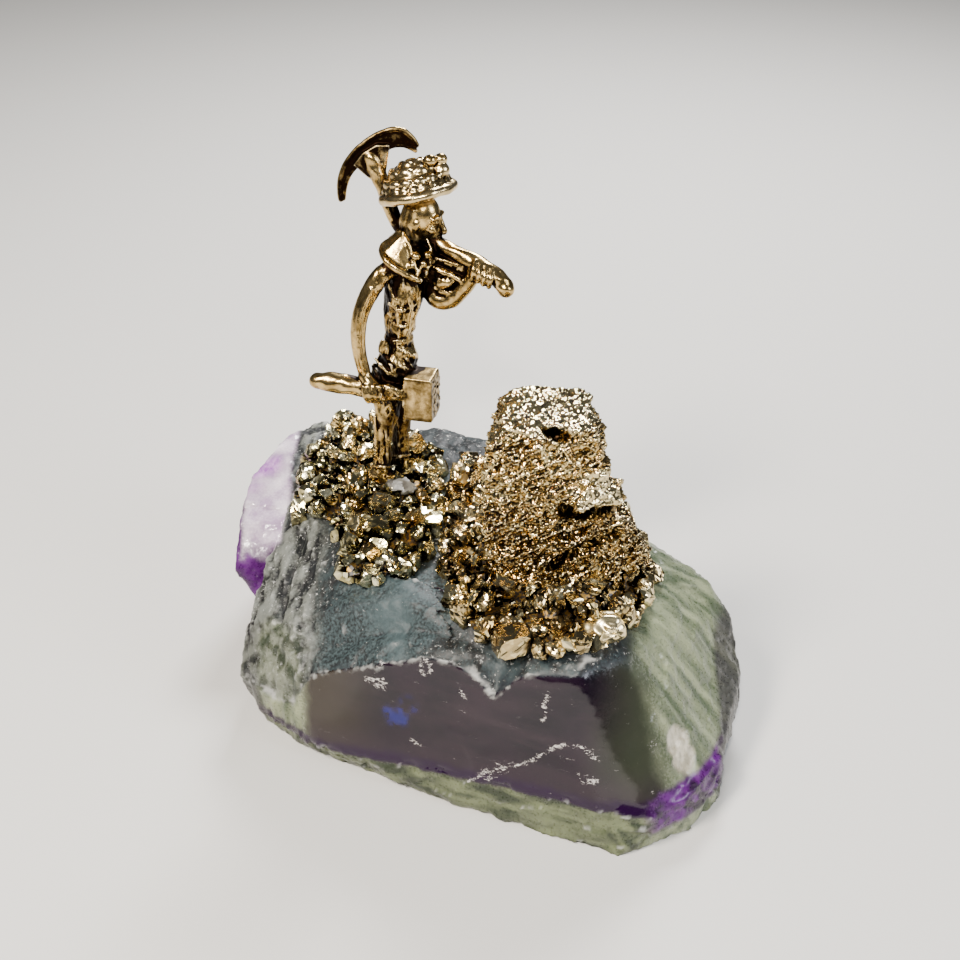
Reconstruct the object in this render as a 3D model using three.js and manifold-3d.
// Miner figurine and pyrite block in two beds of pyrite gravel on a rough fluorite base.
// Millimetres, +Z up. The long front face of the stone looks towards -Y, +X is to the right.
import * as THREE from "three";
import { ConvexGeometry } from "three/addons/geometries/ConvexGeometry.js";
import { TessellateModifier } from "three/addons/modifiers/TessellateModifier.js";
import { SimplexNoise } from "three/addons/math/SimplexNoise.js";
import { mergeVertices } from "three/addons/utils/BufferGeometryUtils.js";
import Module from "manifold-3d";

const wasm = await Module();
wasm.setup();

// Driving dimensions
const CLEARANCE = 0.32; // left between two pieces that touch
const FIGURE_FOOT = new THREE.Vector3(-12.2, 12, 26.6); // middle of the boots
const CHIP_COUNT = 40; // the biggest loose crystals
const SEED = 20431;

// How far apart the corners of the rough surfaces lie, and how far they stand proud
const STONE_SKIN = { edge: 6.4, height: 0.24, length: 7.5 };
const BLOCK_SKIN = { edge: 3.9, height: 0.3, length: 2.6 };
const SKIN_ROOM = 0.5; // room left over the bare lumps, more than their skin stands proud
const SPLITS = 24; // the most times that a long edge is halved

// Convex lumps that the stone is made of, as their corners
const STONE = {
  body: [
    [-28.5, -8.5, 0], [-24.1, -12.6, 0], [-16.5, -17.2, 0], [4.8, -28.2, 0], [16.9, -33.2, 0],
    [25.8, -28.2, 0], [31.5, -13, 0], [32.6, -2, 0], [25, 8, 0], [3, 25, 0], [-8, 30.5, 0],
    [-24, 31, 0], [-29, 12, 0],
    [-31, -5.6, 3], [-21, -16.4, 3], [20.7, -32.1, 4.6], [29.4, -24.2, 5],
    [-31.4, -8.2, 8], [34.3, -7.8, 9], [33.7, -12.1, 5],
    [-22.9, -14, 12], [-18.5, -15.6, 16.5], [-10.2, -19, 21.8], [-2.6, -21.9, 22.1],
    [6.4, -25.5, 23.2], [10.8, -26.6, 24], [16.5, -22.5, 22.4], [21.4, -20.8, 15], [24, -24.3, 8],
    [-30.5, -4.6, 14], [-27.2, 4, 20], [-25.4, 13, 23.4], [-22, 24, 24],
    [20, -18.8, 19], [23.2, 3, 20], [30, 0.6, 17.2], [33.2, -2.2, 13.4],
    [-6.5, 27.5, 24.6], [1.4, 22.3, 25.6], [12, 8, 24.5], [15, -5, 24.6],
  ],
  knob: [
    [-27.4, 9, 0], [-29, 16, 0], [-28, 26, 0], [-23.5, 31, 0], [-14, 30, 0], [-20, 10, 0],
    [-31.4, 7.8, 10], [-34.2, 8.1, 13], [-33.4, 12, 18.5], [-32.7, 19.9, 21.5], [-27.9, 29.5, 22.6],
    [-24.1, 33, 22.4], [-16, 28, 24], [-22, 12, 19], [-32.6, 16, 10], [-30, 27.5, 9],
  ],
  wedge: [
    [20.6, -31.3, 0], [25.8, -28.4, 0], [30.2, -23, 0], [29, -14, 0], [20.7, -31.6, 4.6],
    [26.5, -27.4, 6.4], [30.4, -21.8, 6.2], [30, -14, 7.5], [20, -18, 6],
  ],
  brow: [
    [-16, -15, 20], [-8, -19, 22.4], [-3.5, -21.2, 23.4], [-4, -12, 24.6], [-12, -8, 24.4], [-18, -8, 21],
  ],
};

// Wedge-shaped bites broken out of the stone, as their corners
const BITES = [
  // the groove between the body and the knob
  [[-36, 1, -2], [-36, 6.5, -2], [-27.5, 4.6, -2], [-36, 1, 22], [-36, 6.2, 26], [-26.4, 6.6, 26]],
  // the notch in the crest above the middle of the front face
  [[-3.4, -34, 27], [6, -34, 27], [1.4, -34, 21.6], [-2, -21.5, 27], [4.6, -21.5, 27], [1.5, -23, 23.6]],
  // steps where slabs cleaved off at the left foot and along the back
  [[-40, -14, -2], [-26.5, -14, -2], [-33, 0, -2], [-40, -14, 4], [-28.2, -14, 4], [-33.4, 0, 3]],
  [[-2, 40, 10], [16, 26, 10], [-1.5, 27, 9], [9, 18.4, 9.4], [-2, 40, 30], [16, 26, 30], [-1, 25.6, 30],
    [9.6, 16.8, 30]],
  [[17, 22, 5], [38, 8, 5], [19.6, 12.4, 5.4], [31, 4.2, 5], [17, 22, 30], [38, 8, 30],
    [18.6, 11, 30], [30, 3, 30]],
];

// Saw-toothed lower edge of the front ledge: nicks along the line between its two ends
const LEDGE = {
  from: [-22, -14],
  to: [17.4, -34.2],
  nicks: 8,
  depth: 0.9,
  height: 2.6,
  width: 3.4,
  reach: 2.5,
};

// Convex lumps of the pyrite block
const BLOCK = {
  column: [
    [1.2, -13.6, 25], [17.4, -12, 25], [17, -0.5, 25], [3, 1.5, 25],
    [0.4, -11.8, 38], [0.8, -10.8, 43.2], [2.6, -9.8, 45.8], [7.2, -10.6, 44.8], [13.6, -9.4, 45.4],
    [14.6, -8.4, 41.4], [2.6, -2, 46.4], [5.4, -1.1, 46.9], [9, -0.8, 46.9], [12.6, -1, 46.3],
    [14, -3.2, 45.2], [16.2, -9.6, 36.2], [15.8, -3, 36.4], [1.2, -2.6, 38],
  ],
  foot: [
    [1.6, -14.6, 25.4], [5.8, -15, 26.2], [9.6, -13.8, 28], [17.2, -11.6, 27], [20.6, -9.8, 26],
    [21.8, -6, 25], [19.6, 1, 24], [8, 3, 25], [2, -13.4, 31], [12, -13, 32.4],
    [17, -10, 33], [19.6, -8.4, 31], [18.6, -2.6, 30.2], [14, 0.6, 31],
  ],
  shelf: [
    [10.8, -12.8, 36.4], [13, -11.2, 39], [16.2, -10.4, 37.6], [17.6, -10.4, 35.2], [17.4, -5, 36],
    [12, -5, 38], [11.4, -10, 34.6], [16, -8.6, 34],
  ],
};
const BLOCK_BITES = [
  // the recess under the shelf
  [[10.4, -16, 34.6], [19.6, -13.4, 33.9], [10.8, -16, 29.6], [19, -13, 30.6], [12.6, -11.2, 34.4],
    [17.4, -9.6, 33.8], [13, -12, 31]],
  // the pit at the front edge of the top
  [[8, -13, 46.6], [10, -13, 44], [8.2, -13, 43.2], [8.6, -8.4, 45.2], [9.8, -8.8, 47], [7.2, -10, 47]],
  // the slope at the left of the foot
  [[-2, -17, 33], [1.4, -17, 24], [-2, -17, 24], [-2, -8, 33], [1, -8, 24], [-2, -8, 24], [0.6, -12, 30]],
];

// Beds of gravel: outline on the stone, heaps of glued grains under the top ones, and grain sizes
const BEDS = {
  pyrite_gravel_around_figure: {
    outline: [
      [-24.6, 18.6], [-21.6, 25], [-16, 26.4], [-8.6, 20.6], [-5.8, 17], [-5.6, 9.6], [-6.4, 2],
      [-6.8, -3.4], [-8.4, -8], [-12.6, -10.2], [-15.8, -7.6], [-17.4, -1.8], [-19.4, 3.6], [-24.4, 7.4],
    ],
    heaps: [
      [[-22.6, 18, 23], [-19, 24.4, 23.4], [-14, 22, 24], [-13.6, 14, 24], [-20, 11, 23], [-19.2, 22, 30.4],
        [-16.2, 20.4, 30], [-17.4, 15, 28.2], [-21, 17, 27.8]],
      [[-15, 13, 24], [-9, 18, 24], [-7, 10, 24], [-9, 4, 24], [-15.6, 6, 23.4], [-12, 14, 27.2],
        [-9.6, 9.6, 26.8], [-12.6, 7, 26.6]],
    ],
    grains: 16,
  },
  pyrite_gravel_around_block: {
    outline: [
      [-3.4, 10], [-4.4, 1], [-4.6, -6], [-3.2, -14.4], [-0.6, -19.8], [2.8, -22.6], [8.8, -25],
      [13.2, -23], [17.4, -18], [20.4, -12], [22, -5.4], [20.4, 1.6], [13, 6], [5, 12], [-1, 13.6],
    ],
    heaps: [
      [[-1.6, 2, 24], [-1, -14, 23.4], [8, -19.6, 23.4], [16, -17, 21.5], [20.4, -8, 20.4],
        [19.6, 0, 21.4], [8, 5, 24], [0.4, -11.6, 28.4], [6, -16, 27.4], [14, -14.6, 26.6],
        [18.6, -10, 25.6], [17.4, 0.6, 25.4], [6, 3.6, 27.6], [0.4, 0.6, 28]],
    ],
    grains: 22,
  },
};
const BED_BACKING = 1.3; // how far the glue stands above the stone
const BED_FLOOR = 10; // the glue's outline is cut from here up, inside the stone
const BED_TOP = 34;
// Grains and single crystals: radii, distance apart, and shares of the radius that they sit up by
const GRAIN = { least: 1.25, most: 2.1, apart: 1.7, raised: 0.25, corners: 8, flatness: 0.9 };
const CHIP = { least: 1.1, most: 1.8, apart: 0.9, raised: 0.3, corners: 8, flatness: 0.9, tries: 9 };
const SCATTER_TRIES = 4000;
const BOOT_ROOM = 0.4; // kept free of grains round the legs and boots

// The four biggest pieces on the beds
const NAMED_CHIPS = [
  // the rounded nugget and the bright flat grain at the front of the block
  { at: [14.8, -20.2, 24.6], radii: [2.5, 2.1, 1.5], corners: 14 },
  { at: [10.2, -24.4, 25.6], radii: [1.7, 1.2, 0.8], corners: 8 },
  // the two brown crystals behind the figure
  { at: [-9, 15.6, 29.2], radii: [2.2, 2, 1.6], corners: 12 },
  { at: [-2.6, 8.4, 28.2], radii: [2.1, 1.9, 1.9], corners: 10 },
];
// The thin flake in front of the boots
const FLAKE = [
  [-12.8, 7.4, 27.6], [-9.8, 7.9, 27.4], [-8.2, 6.8, 27.2], [-9, 5.9, 26.9], [-11.8, 6, 27.1],
  [-12.4, 7.6, 28.3], [-9.9, 8.1, 28.2], [-8.7, 7, 27.9],
];

// Finishes
const FINISH = {
  fluorite: { color: 0x5d5766, roughness: 0.3, metalness: 0 },
  pyrite: { color: 0xb08d4f, roughness: 0.38, metalness: 1 },
  casting: { color: 0xa08256, roughness: 0.35, metalness: 1 },
  flake: { color: 0x9a9d98, roughness: 0.5, metalness: 0 },
};

// Seeded random numbers, so that every build gives the same grains.
function seededRandom(seed) {
  let state = seed;
  return () => {
    state = (Math.imul(state, 1664525) + 1013904223) >>> 0;
    return state / 2 ** 32;
  };
}
const random = seededRandom(SEED);
const noise = new SimplexNoise({ random: seededRandom(SEED + 1) });

const vectors = (corners) => corners.map(([x, y, z]) => new THREE.Vector3(x, y, z));
const between = (low, high) => low + (high - low) * random();

// A closed geometry as a solid that can be joined and cut.
function solid(geometry) {
  const bare = geometry.clone();
  bare.deleteAttribute("normal");
  bare.deleteAttribute("uv");
  const merged = mergeVertices(bare, 1e-4);
  const mesh = new wasm.Mesh({
    numProp: 3,
    vertProperties: merged.attributes.position.array,
    triVerts: new Uint32Array(merged.index.array),
  });
  return new wasm.Manifold(mesh);
}

// The largest body of a solid, as a geometry with flat faces.
function geometryOf(made) {
  const whole = made.decompose().sort((a, b) => b.volume() - a.volume())[0];
  const mesh = whole.getMesh();
  const geometry = new THREE.BufferGeometry();
  geometry.setAttribute("position", new THREE.BufferAttribute(new Float32Array(mesh.vertProperties), 3));
  geometry.setIndex(new THREE.BufferAttribute(new Uint32Array(mesh.triVerts), 1));
  return geometry;
}

const hull = (points) => solid(new ConvexGeometry(points));
const union = (solids) => solids.reduce((sum, next) => sum.add(next));
const cutAll = (from, cutters) => cutters.reduce((rest, next) => rest.subtract(next), from);
const overlaps = (a, b) => a.intersect(b).volume() > 0;

// The same corners pushed away from their middle by a distance, for a pocket with clearance.
function grown(points, distance) {
  const middle = points.reduce((sum, p) => sum.add(p), new THREE.Vector3()).divideScalar(points.length);
  return points.map((p) => {
    const out = p.clone().sub(middle);
    return p.clone().addScaledVector(out.normalize(), distance);
  });
}

// Convex lumps with room over every face: each is the hull of its corners moved to all six sides.
const SIDES = vectors([[1, 0, 0], [-1, 0, 0], [0, 1, 0], [0, -1, 0], [0, 0, 1], [0, 0, -1]]);
function withRoom(lumps, room) {
  return union(Object.values(lumps).map((corners) =>
    hull(vectors(corners).flatMap((p) => SIDES.map((side) => p.clone().addScaledVector(side, room))))));
}

// Splits long edges and moves the corners by smooth noise. Corners on the floor stay on it.
function roughened(made, skin) {
  const loose = geometryOf(made).toNonIndexed();
  const position = new TessellateModifier(skin.edge, SPLITS).modify(loose).attributes.position;
  const p = new THREE.Vector3();
  for (let i = 0; i < position.count; i += 1) {
    p.fromBufferAttribute(position, i);
    const [x, y, z] = p.toArray().map((v) => v / skin.length);
    const lift = Math.min(1, p.z / 2);
    p.x += skin.height * (noise.noise3d(x, y, z) + 0.5 * noise.noise3d(2.3 * x, 2.3 * y, 2.3 * z + 7));
    p.y += skin.height * (noise.noise3d(x + 31, y, z) + 0.5 * noise.noise3d(2.3 * x, 2.3 * y + 11, 2.3 * z));
    p.z += skin.height * lift * noise.noise3d(x, y + 53, z);
    position.setXYZ(i, p.x, p.y, p.z);
  }
  const geometry = new THREE.BufferGeometry().setAttribute("position", position);
  return solid(mergeVertices(geometry, 1e-3));
}

// Nicks along the foot of the ledge, each a small wedge that points into the stone.
function ledgeNicks() {
  const from = new THREE.Vector2(...LEDGE.from);
  const along = new THREE.Vector2(...LEDGE.to).sub(from);
  const out = new THREE.Vector2(along.y, -along.x).normalize();
  const step = along.clone().divideScalar(LEDGE.nicks);
  const half = step.clone().setLength(LEDGE.width / 2);
  return Array.from({ length: LEDGE.nicks }, (_, i) => {
    const middle = from.clone().addScaledVector(step, i + 0.2 + 0.6 * random());
    const tip = middle.clone().addScaledVector(out, -LEDGE.depth * between(0.7, 1.4));
    const foot = middle.clone().addScaledVector(out, LEDGE.reach);
    const height = LEDGE.height * between(0.5, 1.2);
    return hull(vectors([
      [foot.x - half.x, foot.y - half.y, -1], [foot.x + half.x, foot.y + half.y, -1], [tip.x, tip.y, -1],
      [foot.x - half.x, foot.y - half.y, height], [foot.x + half.x, foot.y + half.y, height],
    ]));
  });
}

function fluoriteBase() {
  const lumps = union(Object.values(STONE).map((corners) => hull(vectors(corners))));
  const broken = cutAll(lumps, [...BITES.map((corners) => hull(vectors(corners))), ...ledgeNicks()]);
  return roughened(broken, STONE_SKIN);
}

const stone = fluoriteBase();
const stoneRoom = withRoom(STONE, SKIN_ROOM);

function pyriteBlock() {
  const lumps = union(Object.values(BLOCK).map((corners) => hull(vectors(corners))));
  const broken = cutAll(lumps, BLOCK_BITES.map((corners) => hull(vectors(corners))));
  return roughened(broken, BLOCK_SKIN).subtract(stoneRoom);
}

const block = pyriteBlock();
const blockPocket = withRoom(BLOCK, SKIN_ROOM);

// The casting, in its own frame: origin between the boots, the figure looks along its +X.
// A limb is a chain of lumps: each link is the hull of two small balls.
function ball(x, y, z, radius, detail = 0) {
  const geometry = new THREE.IcosahedronGeometry(radius, detail);
  const position = geometry.attributes.position;
  return Array.from({ length: position.count }, (_, i) =>
    new THREE.Vector3().fromBufferAttribute(position, i).add(new THREE.Vector3(x, y, z)));
}

function limb(joints) {
  return joints.slice(1).map((joint, i) => hull([...ball(...joints[i]), ...ball(...joint)]));
}

const FIGURE = {
  // limbs as joints of x, y, z and radius
  nearLeg: [[-1.1, -1.3, 0.6, 1.3], [-0.6, -1.4, 7.2, 1.25], [-0.1, -1.1, 9.8, 1.6], [0.7, -0.7, 14.6, 2.3]],
  farLeg: [[1.3, 1.2, 0.6, 1.25], [1.6, 1.1, 7, 1.2], [1.9, 1, 9.8, 1.55], [2.2, 0.8, 14.6, 2.3]],
  nearBoot: [[-1.5, -1.3, 0.5, 1.3], [0.3, -1.7, 0.2, 1]],
  farBoot: [[0.9, 1.2, 0.5, 1.2], [2.4, 0.7, 0.3, 0.95]],
  hips: [[1.2, 0.1, 15.4, 2.7], [1.7, 0.2, 17.8, 2.3], [1.7, 0.4, 20, 1.7]],
  belt: [[1.7, 0.4, 19.7, 1.95], [1.75, 0.45, 20.6, 1.95]],
  chest: [[1.8, 0.5, 21, 1.75], [2.4, 1, 26, 2.4], [2.9, 1.4, 29.2, 2.5]],
  shoulders: [[1.4, -0.3, 30, 1.15], [3.4, 1.6, 31, 1.5], [5.2, 2.7, 30.9, 1.1]],
  neck: [[3.2, 1.9, 30.5, 1.3], [4.3, 2.7, 33.5, 1.15]],
  nearArm: [
    [1.1, -0.3, 30.2, 1.1], [-1.2, -0.9, 27.9, 1.05], [-3, -1.6, 23.8, 1], [-3.2, -2.4, 19.8, 0.9],
    [-2.5, -3, 16.6, 0.85],
  ],
  nearHand: [[-2.6, -3.1, 15.8, 1.05], [-1.6, -3.5, 14.7, 1.3]],
  farArm: [[5.2, 2.6, 30.6, 1], [6.2, 1.4, 26.2, 0.95], [7.2, 0.5, 25.4, 0.95], [9.9, -0.4, 27.4, 0.85],
    [11.8, -1.2, 30, 0.85]],
  farHand: [[11.6, -1.1, 30.2, 1.05], [12.8, -1.5, 30.4, 1]],
  pickHandle: [
    [-0.9, 5.9, 42, 1.5], [0.2, 5.4, 38.6, 0.9], [1.7, 4.4, 34.2, 0.7], [3.4, 3.9, 32.6, 0.7],
    [5.9, 2.8, 32.7, 0.75], [8.7, 1, 31.8, 0.75], [12.2, -1.1, 30.9, 0.9], [14.6, -2.3, 29.5, 1],
    [15.4, -2.8, 28.3, 0.95],
  ],
  hammerHandle: [
    [-8.8, -2.4, 15.2, 1.1], [-6.4, -2.7, 15.1, 1.25], [-1, -3.4, 14.5, 1.2], [2.2, -3.2, 13.9, 0.95],
  ],
  pouch: [[-0.4, -1.3, 20.6, 0.75], [0.2, -1.6, 19.2, 0.85]],
};
const HEAD = { at: [5, 3, 35.6], radii: [2.35, 2.05, 2.85] };
const FACE = {
  nose: [[7.1, 2.35, 36.5], [7.1, 3.25, 36.5], [7.25, 2.2, 35.1], [7.25, 3.3, 35.1], [8.05, 2.6, 35.2],
    [6.6, 2.7, 34.9]],
  chin: [[6.5, 2.1, 33.5], [6.5, 3.5, 33.5], [6.9, 2.7, 33.2], [5.8, 2.7, 32.9], [6.7, 2.6, 34.3]],
};
const HAT = {
  at: [4.6, 3.6, 38.2],
  lean: [-0.2, -0.21, 0], // turns about X and Y, rad: the near side and the right side are raised
  profile: [[0, 0], [4.5, 0], [4.85, 0.45], [4.55, 1], [4, 1.15], [4.15, 1.9], [3.7, 2.5], [3.85, 3.2],
    [3.2, 4], [1.6, 4.45], [0, 4.5]],
  sides: 16,
  lamp: [[2.6, -0.9, 2.6, 1], [3.4, -0.9, 4.1, 0.75]],
};
const COLLAR = [
  [[2.6, 0.8, 34.6], [4.2, 0.2, 33.8], [-0.2, 0.4, 31.7], [0.4, -1.2, 31.4], [1.8, -1.9, 31],
    [3.4, 2.8, 33.4], [0.8, 2.4, 32.2], [2.4, 0.8, 31.4]],
  [[3.6, 0.1, 33.8], [5.8, 0.9, 32.8], [1.2, -2, 31.5], [4.9, -1.6, 28.9], [5.7, -0.8, 29.4],
    [3.4, 1.4, 31.6], [2.6, -1.2, 30]],
];
const HAMMER_HEAD = {
  at: [4.6, -2.5, 13.4],
  size: [3.9, 4, 6.2],
  turn: -0.25,
};
const PICK = {
  outer: [[-5.2, 36.3], [-5.5, 39.2], [-4, 42.1], [-2.1, 44], [0, 45.3], [2, 45.9], [3.5, 45.2], [4.5, 43.6]],
  inner: [[4.2, 42.8], [3.4, 43.2], [2, 43.5], [0.5, 43.1], [-1.4, 41.1], [-3.1, 40.2], [-4.1, 38.9],
    [-4.6, 37]],
  plate: 0.8,
  depth: 6.1,
};

function pickHead() {
  const outline = new THREE.Shape([
    ...new THREE.SplineCurve(PICK.outer.map(([x, z]) => new THREE.Vector2(x, z))).getPoints(14),
    ...new THREE.SplineCurve(PICK.inner.map(([x, z]) => new THREE.Vector2(x, z))).getPoints(14),
  ]);
  const plate = new THREE.ExtrudeGeometry(outline, { depth: PICK.plate, bevelEnabled: false });
  plate.rotateX(Math.PI / 2);
  plate.translate(0, PICK.depth + PICK.plate, 0);
  return solid(plate);
}

function hat() {
  const profile = HAT.profile.map(([r, z]) => new THREE.Vector2(r, z));
  const crown = new THREE.LatheGeometry([...profile, profile[0]], HAT.sides).rotateX(Math.PI / 2);
  const place = new THREE.Matrix4()
    .makeRotationFromEuler(new THREE.Euler(...HAT.lean))
    .setPosition(...HAT.at);
  const lamp = new ConvexGeometry(HAT.lamp.flatMap((joint) => ball(...joint)));
  return solid(crown.applyMatrix4(place)).add(solid(lamp.applyMatrix4(place)));
}

function minerFigure() {
  const head = new THREE.SphereGeometry(1, 12, 8).scale(...HEAD.radii).translate(...HEAD.at);
  const hammer = new THREE.BoxGeometry(...HAMMER_HEAD.size)
    .rotateZ(HAMMER_HEAD.turn)
    .translate(...HAMMER_HEAD.at);
  const casting = union([
    ...Object.values(FIGURE).flatMap(limb),
    ...Object.values(FACE).map((corners) => hull(vectors(corners))),
    ...COLLAR.map((corners) => hull(vectors(corners))),
    solid(head),
    solid(hammer),
    pickHead(),
    hat(),
  ]);
  return casting.translate(...FIGURE_FOOT.toArray()).subtract(stoneRoom);
}

const figure = minerFigure();
const figurePocket = union(
  ["nearLeg", "farLeg", "nearBoot", "farBoot"].flatMap((name) =>
    limb(FIGURE[name].map(([x, y, z, radius]) => [x, y, z, radius + BOOT_ROOM]))),
).translate(...FIGURE_FOOT.toArray());

// An angular crystal: the hull of a few corners spread evenly over an ellipsoid and turned at random.
function crystal(at, radii, corners) {
  const turn = new THREE.Euler(between(0, Math.PI), between(0, Math.PI), between(0, Math.PI));
  const golden = Math.PI * (3 - Math.sqrt(5));
  return Array.from({ length: corners }, (_, i) => {
    const z = 1 - (2 * i + 1) / corners;
    const ring = Math.sqrt(1 - z * z);
    const angle = golden * i + between(-0.35, 0.35);
    return new THREE.Vector3(ring * Math.cos(angle), ring * Math.sin(angle), z)
      .multiplyScalar(between(0.86, 1.12))
      .applyEuler(turn)
      .multiply(new THREE.Vector3(...radii))
      .add(new THREE.Vector3(...at));
  });
}

// Height of the top of a mesh over a point that lies inside its outline.
const ray = new THREE.Raycaster();
const DOWN = new THREE.Vector3(0, 0, -1);
const ABOVE_ALL = 60;
function heightOn(mesh, x, y) {
  ray.set(new THREE.Vector3(x, y, ABOVE_ALL), DOWN);
  return ray.intersectObject(mesh)[0].point.z;
}

function supportMesh(made) {
  const mesh = new THREE.Mesh(geometryOf(made), new THREE.MeshBasicMaterial({ side: THREE.DoubleSide }));
  mesh.updateMatrixWorld(true);
  return mesh;
}

// Even random places inside an outline, none closer than a given distance to another.
function scatter(outline, count, apart) {
  const edge = outline.map(([x, y]) => new THREE.Vector2(x, y));
  const box = new THREE.Box2().setFromPoints(edge);
  const places = [];
  for (let tries = 0; places.length < count && tries < SCATTER_TRIES; tries += 1) {
    const place = new THREE.Vector2(between(box.min.x, box.max.x), between(box.min.y, box.max.y));
    const inside = edge.reduce((odd, a, i) => {
      const b = edge[(i + 1) % edge.length];
      const crosses = a.y > place.y !== b.y > place.y
        && place.x < a.x + ((place.y - a.y) / (b.y - a.y)) * (b.x - a.x);
      return crosses ? !odd : odd;
    }, false);
    if (inside && places.every((other) => other.distanceTo(place) > apart)) places.push(place);
  }
  return places;
}

// The glue under a bed: a skin on the stone inside the outline, and its heaps.
function bedBacking(bed) {
  const outline = new THREE.Shape(bed.outline.map(([x, y]) => new THREE.Vector2(x, y)));
  const prism = new THREE.ExtrudeGeometry(outline, { depth: BED_TOP - BED_FLOOR, bevelEnabled: false });
  const skin = solid(prism.translate(0, 0, BED_FLOOR)).intersect(withRoom(STONE, BED_BACKING));
  return union([skin, ...bed.heaps.map((corners) => hull(vectors(corners)))]);
}

function gravelBed(bed) {
  const backing = bedBacking(bed);
  const support = supportMesh(backing);
  const grains = scatter(bed.outline, bed.grains, GRAIN.apart).map((place) => {
    const radius = between(GRAIN.least, GRAIN.most);
    const z = heightOn(support, place.x, place.y) + GRAIN.raised * radius;
    return hull(crystal([place.x, place.y, z], [radius, radius, radius * GRAIN.flatness], GRAIN.corners));
  });
  return union([backing, ...grains]);
}

const rawBeds = Object.entries(BEDS).map(([name, bed]) => [name, bed, gravelBed(bed)]);

// Single crystals lie half sunk in the beds, clear of the block, the boots, the stone and each other.
function looseCrystals() {
  const kept = NAMED_CHIPS.map((chip) => crystal(chip.at, chip.radii, chip.corners));
  const taken = kept.map((corners) => hull(grown(corners, CLEARANCE)));
  const fixed = [blockPocket, figurePocket, stoneRoom, flakePocket];
  for (const [, bed, made] of rawBeds) {
    const support = supportMesh(made);
    const share = Math.round((CHIP_COUNT - NAMED_CHIPS.length) / rawBeds.length);
    let left = share;
    for (const place of scatter(bed.outline, CHIP.tries * share, CHIP.apart)) {
      const radius = between(CHIP.least, CHIP.most);
      const z = heightOn(support, place.x, place.y) + CHIP.raised * radius;
      const radii = [radius, radius * between(0.8, 1), radius * CHIP.flatness];
      const corners = crystal([place.x, place.y, z], radii, CHIP.corners);
      const room = hull(grown(corners, CLEARANCE));
      const clear = ![...taken, ...fixed].some((other) => overlaps(room, other));
      if (left > 0 && clear) {
        kept.push(corners);
        taken.push(room);
        left -= 1;
      }
    }
  }
  return { chips: kept.map((corners) => cutAll(hull(corners), fixed)), pockets: taken };
}

const flakePocket = hull(grown(vectors(FLAKE), CLEARANCE));
const { chips, pockets } = looseCrystals();
const neighbours = [stoneRoom, blockPocket, figurePocket, flakePocket, ...pockets];
const beds = [];
for (const [name, , made] of rawBeds) {
  const earlier = beds.flatMap(([, bed]) => [bed, bed.translate(CLEARANCE, 0, 0)]);
  beds.push([name, cutAll(made, [...neighbours, ...earlier])]);
}

function named(name, made, finish) {
  const material = new THREE.MeshStandardMaterial({ ...finish, flatShading: true });
  const mesh = new THREE.Mesh(geometryOf(made), material);
  mesh.name = name;
  return mesh;
}

const specimen = new THREE.Group();
specimen.add(
  named("fluorite_base", stone, FINISH.fluorite),
  named("pyrite_block", block, FINISH.pyrite),
  named("miner_figure", figure, FINISH.casting),
  named("pale_flake", hull(vectors(FLAKE)), FINISH.flake),
  ...beds.map(([name, made]) => named(name, made, FINISH.pyrite)),
  ...chips.map((made, i) => named(`pyrite_chip_${String(i + 1).padStart(2, "0")}`, made, FINISH.pyrite)),
);

// The origin is on the floor, under the middle of the whole.
const box = new THREE.Box3().setFromObject(specimen);
specimen.position.set(-(box.min.x + box.max.x) / 2, -(box.min.y + box.max.y) / 2, -box.min.z);
const part = new THREE.Group();
part.add(specimen);

export default part;
